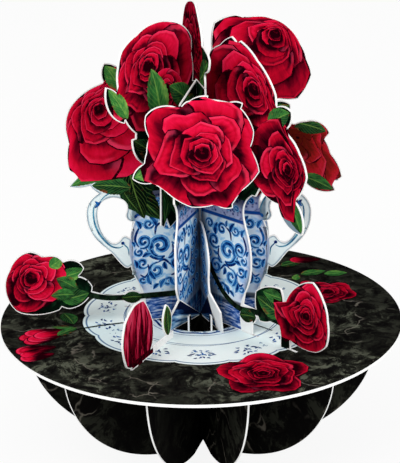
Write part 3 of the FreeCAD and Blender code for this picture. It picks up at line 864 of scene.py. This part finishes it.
def beside(base, tip, along, side):
    """The point at a share of the line from base to tip, and so far to its left, in metres."""
    base, run = Vector(base), Vector(tip) - Vector(base)
    aside = Vector((-run.y, run.x)).normalized() * side
    return (base + run * along + aside) * MM


def smooth_path(points, steps):
    """Points of a smooth line through the given points."""
    given = [Vector(p) for p in points]
    path = []
    for i in range(len(given) - 1):
        before = given[max(i - 1, 0)]
        a, b = given[i], given[i + 1]
        after = given[min(i + 2, len(given) - 1)]
        for step in range(steps):
            t = step / steps
            path.append(0.5 * (2 * a + (b - before) * t + (2 * before - 5 * a + 4 * b - after) * t * t
                               + (3 * a - before - 3 * b + after) * t ** 3))
    return path + [given[-1]]


LEAF_TRIES = 12             # places tried for each scattered leaf

FINISH_NAMES = {
    "vase": "vase_porcelain",
    "vase_fold": "vase_fold",
    "foliage": "foliage_shade",
    "petal": "rose_petal",
    "petal_old": "rose_reverse",
    "petal_painted_shade": "rose_painted_shade",
    "streaked": "bud_streaks",
    "shadow": "petal_shadow",
    "green": "leaf_green",
    "dim": "leaf_dim",
    "blue": "paint_blue",
    "cobalt": "paint_cobalt",
    "wash": "paint_wash",
    "stem": "paint_stem",
}


def scatter_leaves(sheet_print, count, low, high, out, seed):
    """Fill the foliage with dim leaves, each wholly on the card."""
    dice = random.Random(seed)
    made = 0
    for _ in range(count * LEAF_TRIES):
        if made == count:
            break
        x, y = dice.uniform(2, out), dice.uniform(low, high)
        angle = dice.uniform(0, math.tau)
        length = dice.uniform(9, 15)
        tip = (x + length * math.cos(angle), y + length * math.sin(angle))
        middle = ((x + tip[0]) / 2, (y + tip[1]) / 2)
        side = (-(tip[1] - y) * 0.22, (tip[0] - x) * 0.22)
        corners = [(x, y), tip, (middle[0] + side[0], middle[1] + side[1]),
                   (middle[0] - side[0], middle[1] - side[1])]
        if tip[1] > low and all(sheet_print.inside(p[0] * MM, p[1] * MM) for p in corners):
            sheet_print.leaf((x, y), tip, length * 0.4, "dim", dice.uniform(0.25, 0.75))
            made += 1


def level(height):
    """A cut across the sheet, as a point and a normal."""
    return (0, height), (0, 1)


def upright(radius):
    return (radius, 0), (1, 0)


def vase_base(sheet_print, flowers_from=NO_FLOWERS, fold=False):
    """The vase below, deep foliage above, and porcelain on a handle."""
    def finish_at(x, y):
        if x > flowers_from and y < FLOWERS_TOP:
            return "foliage"
        if sheet_print.on_handle(x, y):
            return "vase"
        if y > VASE_TOP:
            return "foliage"
        return "vase_fold" if fold else "vase"

    cuts = [level(VASE_TOP), upright(HANDLE_X), level(HANDLE_Z[0]), level(HANDLE_Z[1]),
            upright(flowers_from), level(FLOWERS_TOP)]
    sheet_print.base(cuts, finish_at)
    paint_vase(sheet_print)


# Painted scrolls of the vase: middle as radius and height, size, angle of the outer end, turns, hand
SCROLLS = (
    ((16.0, 31.2), 5.0, 250, 1.35, 1), ((17.8, 21.0), 3.3, 100, 1.3, -1), ((23.2, 24.4), 2.5, 200, 1.2, 1),
    ((22.6, 33.4), 3.0, 300, 1.25, -1), ((20.4, 40.6), 2.2, 180, 1.2, 1), ((8.6, 34.0), 3.3, 330, 1.3, -1),
    ((9.6, 23.6), 3.4, 60, 1.3, 1), ((13.0, 39.8), 2.5, 20, 1.2, 1), ((23.4, 17.4), 1.8, 120, 1.1, 1),
    ((5.0, 28.2), 2.2, 90, 1.2, -1), ((24.6, 29.2), 1.9, 60, 1.1, -1), ((13.2, 15.6), 2.1, 200, 1.2, -1),
    ((6.2, 40.6), 2.2, 200, 1.2, -1), ((5.2, 17.8), 2.0, 20, 1.2, 1),
    ((5.5, 49.4), 1.6, 30, 1.1, 1), ((11.0, 49.6), 1.7, 200, 1.1, -1), ((16.5, 49.4), 1.6, 60, 1.1, 1),
    ((21.0, 49.6), 1.5, 240, 1.1, -1),
)
# Painted stems that join them, and the dabs of the leaves as base and tip
VASE_STEMS = (
    ((14.3, 26.6), (16.6, 25.6), (20.0, 27.2), (21.6, 30.4)), ((17.2, 24.2), (14.6, 25.2), (11.8, 22.6)),
    ((21.2, 24.0), (20.8, 20.6), (22.5, 18.6), (24.4, 19.8)),
    ((24.6, 31.4), (26.0, 34.6), (24.8, 38.4), (22.6, 41.2)), ((11.2, 31.6), (10.8, 28.6), (12.6, 26.4)),
    ((18.0, 36.0), (17.4, 39.4), (15.4, 40.8)), ((3.0, 31.0), (4.6, 34.6), (3.4, 38.6)),
    ((12.0, 18.4), (9.6, 18.8), (7.2, 17.6)),
)
VASE_DABS = (
    ((19.6, 28.2), (23.4, 27.0)), ((20.4, 29.6), (19.4, 33.4)), ((13.0, 25.6), (10.4, 27.8)),
    ((14.6, 24.4), (13.4, 20.8)), ((24.4, 36.6), (27.0, 39.0)), ((23.6, 38.8), (25.4, 42.4)),
    ((17.4, 39.6), (20.0, 43.6)), ((15.6, 41.2), (16.0, 44.0)), ((11.0, 29.0), (8.0, 29.8)),
    ((20.6, 21.4), (18.2, 17.2)), ((21.2, 19.4), (20.0, 15.0)), ((22.6, 18.2), (25.6, 15.4)),
    ((12.2, 17.6), (10.2, 13.6)), ((14.2, 17.2), (16.4, 13.2)), ((9.4, 36.6), (10.6, 42.0)),
    ((4.2, 35.2), (6.4, 37.2)), ((9.6, 18.8), (8.4, 15.0)), ((16.8, 15.2), (19.4, 13.0)),
    ((25.6, 22.6), (26.6, 26.4)), ((26.2, 31.6), (27.4, 34.0)),
)


def paint_vase(sheet_print):
    """Generic blue scrolls, stems and leaf dabs of painted porcelain, wherever they lie on the card."""
    def on_card(points):
        return all(sheet_print.inside(x * MM, z * MM) for x, z in points)

    for middle, size, start, turns, hand in SCROLLS:
        x, z = middle
        if on_card([(x - size, z), (x + size, z), (x, z - size), (x, z + size)]):
            sheet_print.scroll(middle, size, start, turns, hand, 0.19 * size + 0.24)
    for stem in VASE_STEMS:
        if on_card(stem):
            sheet_print.brush(stem, 1.0, "cobalt")
    for base, tip in VASE_DABS:
        if on_card([base, tip]):
            long = math.dist(base, tip)
            sheet_print.leaf(base, tip, 0.55 * long, "wash", bow=0.5)
            sheet_print.leaf(base, tip, 0.28 * long, "cobalt", bow=0.5)


PLATE_RINGS = ((19.3, 1.0, 0.3), (21.4, 0.3, 0.0), (30.9, 0.3, 0.0))    # radius, width and wave
RING_STEPS = 72
SPRIGS = 14
# Marks of one sprig: radius of the base, offset to the side, length and lean of each mark
SPRIG = (
    (37.2, 0.0, 2.4, 0.0), (38.6, 0.3, 2.0, 0.9), (38.6, -0.3, 2.0, -0.9), (40.6, 0.2, 1.8, 0.5),
    (40.6, -0.2, 1.8, -0.5), (37.8, 2.4, 2.6, 1.3), (37.8, -2.4, 2.6, -1.3), (39.6, 3.6, 2.0, 1.8),
    (39.6, -3.6, 2.0, -1.8), (41.6, 1.8, 1.6, 1.1), (41.6, -1.8, 1.6, -1.1), (36.4, 1.4, 1.8, 2.0),
    (36.4, -1.4, 1.8, -2.0),
)


def paint_plate(table_print):
    """Rings round the opening and sprigs along the rim of the plate."""
    for radius, width, wave in PLATE_RINGS:
        ring = []
        for step in range(RING_STEPS + 1):
            angle = step * math.tau / RING_STEPS
            away = radius + wave * math.sin(12 * angle)
            ring.append((away * math.cos(angle), away * math.sin(angle)))
        table_print.brush(ring, width, "cobalt", False, 2)
    for number in range(SPRIGS):
        turn = math.tau * (number + 0.5) / SPRIGS
        radial = Vector((math.cos(turn), math.sin(turn)))
        around = Vector((-radial.y, radial.x))
        for out, side, length, lean in SPRIG:
            base = radial * out + around * side
            tip = base + (radial * math.cos(lean) + around * math.sin(lean)) * length
            table_print.leaf(base, tip, 0.75, "cobalt", bow=0.6)


# Blue lines along the middle of a handle: width and points, and the dabs at their ends as base, tip, width
HANDLE_STROKES = (
    (0.62, ((25.0, 45.3), (25.1, 48.1), (26.6, 51.5), (28.8, 53.8), (31.5, 54.9), (34.7, 54.8),
            (37.5, 53.4), (39.5, 51.2))),
    (0.72, ((40.2, 51.4), (41.6, 49.4), (41.9, 46.1), (41.3, 42.0), (39.7, 38.1), (37.1, 34.5),
            (34.8, 32.6), (32.4, 32.0), (30.8, 32.6))),
    (0.5, ((31.0, 33.8), (30.0, 32.7), (28.9, 31.2), (28.6, 28.2))),
)
HANDLE_DABS = (
    ((25.9, 43.6), (24.7, 45.2), 1.2), ((31.4, 34.2), (30.2, 33.2), 1.3), ((39.0, 50.0), (41.2, 52.0), 1.1),
    ((41.2, 49.2), (38.8, 51.8), 0.9), ((34.6, 59.4), (33.6, 57.2), 1.0), ((32.7, 57.4), (34.6, 56.6), 0.8),
)


def handle_lines(sheet_print):
    for width, points in HANDLE_STROKES:
        sheet_print.brush(points, width, "blue")
    for base, tip, width in HANDLE_DABS:
        sheet_print.leaf(base, tip, width, "cobalt", bow=0.0)


def leaf_print(name):
    """The empty print of one leaf of card."""
    return Print(Sheet("leaf_" + name, LEAVES["leaf_" + name]), "print_" + name)


def print_left_handle():
    p = leaf_print("left_handle")
    vase_base(p, 43.0)
    handle_lines(p)
    p.brush([(2, 10.6), (18, 10.6), (38, 11.6), (50, 16)], 2.3, "stem", False)
    scatter_leaves(p, 8, 58, 96, 44, 11)
    p.leaves("dim", ((33, 66), (15, 42), 11, 0.45), ((28, 68), (22, 43), 9, 0.35),
             ((12, 66), (8, 44), 9, 0.4), ((30, 55), (24, 46), 5, 0.5))
    p.leaves("green", ((32, 65), (50, 59), 6.0, 0.75), ((27, 56), (42, 58.4), 6.8, 0.35))
    p.rose((38.6, 88.6), 30.0, 20, 3, light=150, tone=0.1)
    p.leaves("green", ((29.5, 95), (35.2, 104.6), 6.4, 0.85), ((57, 22), (46, 24.6), 5.5, 0.75),
             ((56, 13), (45, 14.5), 6.5, 0.4))
    p.leaves("dim", ((58, 20), (49, 17), 6.5, 0.7), ((24, 10.5), (32.2, 10.8), 5.2, 0.5))
    p.rose((67.6, 23.6), 14.6, 65, 5, light=160, rings=5, tone=-0.03)
    p.leaf((60, 27), (54.5, 30.5), 5.0, "green", 0.85)
    p.leaf((50, 17), (57.5, 22), 5.5, "dim", 0.9)
    p.leaf((51, 14.5), (60, 15), 5.0, "green", 0.5)
    p.lay("leaf_card")


def print_left_rose():
    p = leaf_print("left_rose")
    p.base([], lambda x, y: "foliage")
    scatter_leaves(p, 5, 60, 96, 28, 21)
    p.leaves("dim", ((19, 68), (32.8, 79.6), 7.5, 0.55), ((6, 80), (18.6, 43.5), 8.5, 0.75),
             ((22, 80), (12, 45), 7.5, 0.5))
    p.rose((25.4, 106.8), 25.0, 50, 8, light=110, tone=-0.07)
    p.leaf((35.5, 88.5), (44.2, 101), 5.8, "green", 0.85)
    # Half open bud among its leaves
    p.rose((16.5, 95.5), 8.5, 15, 9, light=90, rings=4)
    p.leaves("green", ((19.0, 84.0), (23.4, 105.0), 10.0, 0.75), ((3.4, 88.0), (14.6, 97.0), 8.6, 0.55),
             ((10.0, 84.5), (20.6, 84.6), 6.0, 0.3))
    p.lay("leaf_card")


def print_front_left():
    p = leaf_print("front_left")
    vase_base(p, fold=True)
    scatter_leaves(p, 6, 58, 94, 22, 31)
    p.leaves("green", ((2, 82), (15, 87), 7.5, 0.7), ((3, 88), (14.5, 92), 6.0, 0.5),
             ((8, 78), (20, 82), 6.0, 0.6))
    p.lay("leaf_card")


def print_corner(node, name, finish):
    """The folded foot corner of a front leaf, the one part of it that stands at a slant."""
    sheet = Sheet(node, LEAVES[node])
    out = sheet.matrix.to_3x3().col[2]
    bm = bmesh.new()
    bm.from_mesh(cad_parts[sheet.node].data)
    bmesh.ops.remove_doubles(bm, verts=bm.verts, dist=WELD)
    bmesh.ops.dissolve_limit(bm, angle_limit=STRAIGHT, verts=bm.verts[:], edges=bm.edges[:])
    bm.normal_update()
    slanted = [face for face in bm.faces if abs(face.normal.dot(out)) < WIDE_FACE]
    wide = sorted(slanted, key=lambda face: face.calc_area())[-2:]
    bmesh.ops.delete(bm, geom=[face for face in bm.faces if face not in wide], context="FACES")
    run = (sheet.matrix.to_3x3() @ Vector((*CREASES[node], 0.0))).normalized()
    foot = Vector((0.0, 0.0, TABLE_Z))
    for face in wide:
        rim = bmesh.ops.inset_region(bm, faces=[face], thickness=MARGIN, use_boundary=True,
                                     use_even_offset=True)
        bmesh.ops.delete(bm, geom=rim["faces"], context="FACES")
        bmesh.ops.translate(bm, vec=face.normal * INK, verts=face.verts)
        middle = face.calc_center_median() - foot
        to_crease = run * middle.dot(run) - middle
        to_crease -= face.normal * to_crease.dot(face.normal)
        to_crease.normalize()
        for vert in face.verts:
            if (foot - vert.co).dot(to_crease) < CREASE_REACH:
                vert.co += to_crease * CREASE_SHIFT
    add_piece(bm, name, [finish])


def print_front_mid():
    p = leaf_print("front_mid")
    vase_base(p, fold=True)
    scatter_leaves(p, 5, 60, 94, 22, 41)
    p.lay("leaf_card")


def print_front_right():
    p = leaf_print("front_right")
    vase_base(p, 29.3)
    p.brush([(3.5, 27), (8, 20), (14, 13), (22, 9.2), (32, 10.2), (44, 9.6)], 2.4, "stem", False)
    scatter_leaves(p, 7, 58, 92, 40, 51)
    p.leaf((45, 64), (54.2, 48.2), 8.2, "green", 0.55)
    p.leaf((38, 62), (50.5, 54), 7.0, "dim", 0.6)
    p.rose((31.2, 98.8), 29.0, 35, 12, light=100)
    p.leaf((37.5, 86), (48.2, 92.6), 7.4, "green", 0.55)
    p.rose((48.0, 71.4), 20.0, 70, 14, light=140, tone=-0.2)
    p.leaves("green", ((46, 13), (32, 17), 8.5, 0.35), ((45, 20), (35, 20), 5.5, 0.6))
    p.leaf((22.5, 6.6), (31, 8), 5.6, "dim", 0.6)
    p.rose((57.5, 16.5), 17.5, 10, 16, light=100, tone=-0.13)
    p.lay("leaf_card")


def print_right_handle():
    p = leaf_print("right_handle")
    vase_base(p)
    handle_lines(p)
    scatter_leaves(p, 7, 58, 90, 40, 61)
    p.rose((39.5, 76.5), 30.0, 330, 18, "petal_old", light=300, rings=3, tone=-0.05)
    p.leaves("green", ((37.0, 82.5), (50.0, 79.6), 6.4, 0.3), ((41.0, 61.5), (53.0, 57.0), 5.4, 0.4))
    p.lay("leaf_card")


def print_rear_right():
    p = leaf_print("rear_right")
    vase_base(p)
    scatter_leaves(p, 8, 58, 92, 30, 71)
    p.leaf((24, 77), (36.6, 83.6), 7.5, "green", 0.5)
    p.rose((31.4, 113.0), 28.5, 80, 20, light=120, tone=-0.05)
    p.lay("leaf_card")


def print_top_rose():
    p = leaf_print("top_rose")
    vase_base(p)
    scatter_leaves(p, 7, 58, 92, 24, 81)
    # Painted shade: this rose is darkened with its near-black finish and a low tone, as it stands in shade
    # at the back.
    p.rose((8.0, 106.0), 21.5, 15, 22, "petal_painted_shade", light=110, rings=4, tone=-0.3)
    p.leaf((-8, 98.5), (-23.5, 108.5), 9.5, "green", 0.45)
    p.lay("leaf_card")


REAR_LEAVES = (("rear_1", 91, True), ("rear_2", 92, False), ("rear_3", 93, True), ("rear_left", 94, False))


def print_rear_leaf(name, seed, rose):
    """A plain leaf at the back, with or without a rose."""
    p = leaf_print(name)
    vase_base(p)
    scatter_leaves(p, 12, 56, 82, 32, seed)
    if rose:
        p.rose((20.5, 77.5), 16.5, seed, seed, light=120)
    p.lay("leaf_card")


def print_front_rose():
    p = Print(Sheet("front_rose", 90.0, FRONT_ROSE_Y), "print_front_rose")
    p.base([], lambda x, y: "foliage")
    p.leaves("green", ((-12, 71), (-23.8, 66.4), 7.0, 0.8), ((3.0, 62), (12.0, 54.6), 7.0, 0.9),
             ((-6, 91), (3.6, 96.4), 4.4, 0.4), ((7.5, 91), (16, 93.6), 4.4, 0.35),
             ((-8, 86), (-18.4, 90), 8.0, 0.4))
    p.rose((1.7, 75.6), 25.0, 12, 24, light=80, tone=-0.02)
    p.lay("rose_card")


def print_table_bud():
    p = Print(Sheet("table_bud", BUD_AZIMUTH), "print_table_bud")
    foot_top, leaf_side, foot_side = 2.9, 36, 41

    def finish_at(x, y):
        if y < foot_top:
            return "shadow" if x > foot_side else None
        return "streaked" if x > leaf_side else "green"

    p.base([level(foot_top), upright(leaf_side), upright(foot_side)], finish_at)
    p.leaf((28.6, 2.4), (29.4, 14.6), 5.6, "green", 0.2)
    for line in (((50, 3), (45.5, 9), (44.5, 15), (46, 20)), ((51, 3), (48.5, 10), (48.6, 17), (50, 22)),
                 ((53, 3), (54, 10), (53, 17), (51.5, 22)), ((54, 3), (58.5, 8), (58.5, 14), (56.5, 19)),
                 ((52, 4), (51.5, 9), (51, 14))):
        p.brush(line, 0.9, "shadow")
    p.lay("rose_card")


# Petals of the open rose on the left of the table: base, tip, width and mood
LOOSE_PETALS = (
    ((-52, -15), (-70.5, -22), 8, 0.5), ((-52, -15), (-68, -26), 8, 0.55),
    ((-51.5, -14.5), (-69, -17.5), 7, 0.65), ((-51, -15.5), (-67, -23.5), 7, 0.75),
    ((-50, -15), (-65, -20), 7, 0.85), ((-56, -30), (-70.5, -34), 8, 0.6),
    ((-56, -36), (-68, -40.5), 7, 0.65), ((-59, -31), (-68, -38), 6, 0.8),
)


def print_table_flowers():
    p = Print(TableSheet(), "print_table_flowers")
    paint_plate(p)
    p.brush([(15.5, -6.6), (27.7, -17.8)], 0.5, "stem", False)
    p.rose((22.4, -56.0), 17.6, 20, 26, light=120, lobes=0.24, tone=-0.2)
    p.brush([(-31, -8), (-42, -11), (-54, -16)], 0.9, "stem", False)
    p.leaf((-55.5, 2.5), (-50.5, -8.5), 6.5, "green", 0.35)
    for petal in LOOSE_PETALS:
        p.loose_petal(*petal)
    p.leaves("green", ((-56, -19.5), (-49, -12), 4.5, 0.4), ((-50, -12), (-59, -11), 3.2, 0.4),
             ((35.0, 50.0), (45.0, 55.5), 6.0, 0.3))
    p.loose_petal((52.5, 57.5), (39.5, 57.0), 7.0, 0.5)
    p.leaves("green", ((43.0, 40.0), (54.0, 43.5), 6.0, 0.6), ((53.0, 40.0), (63.0, 41.0), 6.0, 0.75),
             ((40.5, 33.5), (41.5, 40.0), 3.5, 0.85))
    p.rose((53.0, 20.0), 12.0, 50, 32, light=120, lobes=0.2, rings=5, tone=-0.2)
    p.loose_petal((50, 24), (43, 31.5), 6.0, 0.5)
    p.lay("table_card")


# Steps of the work, one operator each

class CARD_OT_finishes(bpy.types.Operator):
    """Make the card, marble, petal, leaf and porcelain finishes, and put them on the bare card"""
    bl_idname = "card.finishes"
    bl_label = "Finishes"

    def execute(self, context):
        scene = context.scene
        roses, greens, vase, table = scene.card_roses, scene.card_leaves, scene.card_vase, scene.card_table
        card = white_card()
        petal_finish("rose_petal", roses)
        petal_finish("rose_reverse", roses, 0.45, srgb(120, 34, 18))
        # Painted shade for the rose at the top of the bunch: petals half mixed with near black.
        petal_finish("rose_painted_shade", roses, 1.1, srgb(24, 0, 4))
        streaked_finish(roses)
        shadow_finish(roses)
        green_finish("leaf_green", greens, 0.0)
        green_finish("leaf_dim", greens, 0.3)
        foliage_finish(greens)
        corner_finish("corner_wash", 0.13, 1.0)
        corner_finish("corner_dark", 0.16, 15.5 * MM)
        paint_finish("paint_blue", srgb(34, 92, 130), srgb(84, 150, 176))
        paint_finish("paint_stem", srgb(8, 16, 12), srgb(26, 44, 28))
        vase_finish("vase_porcelain", vase, 22.0)
        vase_finish("vase_fold", vase, 40.0)
        paint_finish("paint_cobalt", srgb(8, 34, 96), srgb(30, 96, 168))
        paint_finish("paint_wash", srgb(56, 132, 200), srgb(128, 190, 232))
        ribs = rib_finish(table)
        top = table_finish(table)
        for name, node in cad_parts.items():
            finish = top if name == "table_top" else ribs if name.startswith("bowl_rib") else card
            node.data.materials.clear()
            node.data.materials.append(finish)
        return {"FINISHED"}


class CARD_OT_front_prints(bpy.types.Operator):
    """Print the leaves that face the front: both handles, the front leaves and their roses"""
    bl_idname = "card.front_prints"
    bl_label = "Front leaves"

    def execute(self, context):
        print_left_handle()
        print_left_rose()
        print_front_left()
        print_corner("leaf_front_left", "print_left_corner", "corner_wash")
        print_corner("leaf_front_mid", "print_right_corner", "corner_dark")
        print_front_mid()
        print_front_right()
        print_right_handle()
        print_front_rose()
        return {"FINISHED"}


class CARD_OT_rear_prints(bpy.types.Operator):
    """Print the leaves at the back, with the two roses that show above the bunch"""
    bl_idname = "card.rear_prints"
    bl_label = "Rear leaves"

    def execute(self, context):
        print_rear_right()
        print_top_rose()
        for name, seed, rose in REAR_LEAVES:
            print_rear_leaf(name, seed, rose)
        return {"FINISHED"}


class CARD_OT_table_prints(bpy.types.Operator):
    """Print the standing bud and the flowers that lie on the table"""
    bl_idname = "card.table_prints"
    bl_label = "Table flowers"

    def execute(self, context):
        print_table_bud()
        print_table_flowers()
        return {"FINISHED"}


class CARD_OT_stage(bpy.types.Operator):
    """Set up the floor, the lights and the camera"""
    bl_idname = "card.stage"
    bl_label = "Stage"

    def execute(self, context):
        settings = context.scene.card_stage
        make_floor(settings)
        make_lights(settings)
        make_camera(settings)
        return {"FINISHED"}


WHITE = (1.0, 1.0, 1.0, 1.0)
PAPER = (0.92, 0.92, 0.915, 1.0)
KEY_PLACE, FILL_PLACE = (-0.55, -0.85, 1.0), (0.8, -0.6, 0.5)
CARD_MIDDLE = (0.0, 0.0, 0.09)
# The camera's place and turn, fitted to the photo
CAMERA_PLACE = (0.0, -0.5290, TABLE_Z + 0.2292)
CAMERA_TURN = (1.2193, 0.0163, -0.0063)


def make_floor(settings):
    bm = bmesh.new()
    bmesh.ops.create_grid(bm, x_segments=1, y_segments=1, size=settings.floor_size / 2)
    f = Finish("floor_paper", 0.8)
    f.shader.inputs["Base Color"].default_value = PAPER
    glow = f.add("ShaderNodeEmission", {"Color": WHITE, "Strength": 1.0})
    f.for_camera(f.shader.outputs[0], glow, 0.9, "Material Output")
    floor = add_mesh(bm, "floor", [f.material.name])


def make_lights(settings):
    world = bpy.data.worlds.new("pale_room")
    bpy.context.scene.world = world
    world.use_nodes = True
    room = Nodes(world.node_tree)
    sky = room.tree.nodes["Background"]
    sky.inputs["Color"].default_value = WHITE
    sky.inputs["Strength"].default_value = settings.sky
    seen = room.add("ShaderNodeBackground", {"Color": WHITE})
    room.for_camera(sky.outputs[0], seen, 1.0, "World Output")
    for name, place, size, power in (("key", KEY_PLACE, 0.7, settings.key_power),
                                     ("fill", FILL_PLACE, 0.8, settings.fill_power)):
        lamp = bpy.data.lights.new(name, "AREA")
        lamp.size = size
        lamp.energy = power
        light = bpy.data.objects.new(name, lamp)
        light.location = place
        aim = Vector(CARD_MIDDLE) - Vector(place)
        light.rotation_euler = aim.to_track_quat("-Z", "Y").to_euler()
        bpy.context.collection.objects.link(light)


def make_camera(settings):
    camera = bpy.data.cameras.new("camera")
    camera.sensor_fit = "VERTICAL"
    camera.sensor_height = 36.0
    camera.lens = settings.lens
    camera.clip_end = 20.0
    view = bpy.data.objects.new("camera", camera)
    view.location = CAMERA_PLACE
    view.rotation_euler = CAMERA_TURN
    bpy.context.collection.objects.link(view)
    bpy.context.scene.camera = view
    bpy.context.scene.view_settings.view_transform = "Standard"


class CARD_PT_panel(bpy.types.Panel):
    """Lists the steps in the order they run"""
    bl_label = "Rose Card"
    bl_idname = "CARD_PT_panel"
    bl_space_type = "VIEW_3D"
    bl_region_type = "UI"
    bl_category = "Rose Card"

    def draw(self, context):
        for step in STEPS:
            self.layout.operator(step.bl_idname)
        for group in SETTINGS:
            settings = getattr(context.scene, group)
            for name in settings.__annotations__:
                self.layout.prop(settings, name)


SETTINGS = {
    "card_roses": RoseColours,
    "card_leaves": LeafColours,
    "card_vase": VaseColours,
    "card_table": TableColours,
    "card_stage": StageSettings,
}
STEPS = (CARD_OT_finishes, CARD_OT_front_prints, CARD_OT_rear_prints, CARD_OT_table_prints, CARD_OT_stage)


def register():
    for cls in (*SETTINGS.values(), *STEPS, CARD_PT_panel):
        bpy.utils.register_class(cls)
    for name, group in SETTINGS.items():
        setattr(bpy.types.Scene, name, PointerProperty(type=group))


def unregister():
    for name in SETTINGS:
        delattr(bpy.types.Scene, name)
    for cls in reversed((*SETTINGS.values(), *STEPS, CARD_PT_panel)):
        bpy.utils.unregister_class(cls)


def main():
    register()
    bpy.ops.card.finishes()
    bpy.ops.card.front_prints()
    bpy.ops.card.rear_prints()
    bpy.ops.card.table_prints()
    bpy.ops.card.stage()


if __name__ == "__main__":
    main()
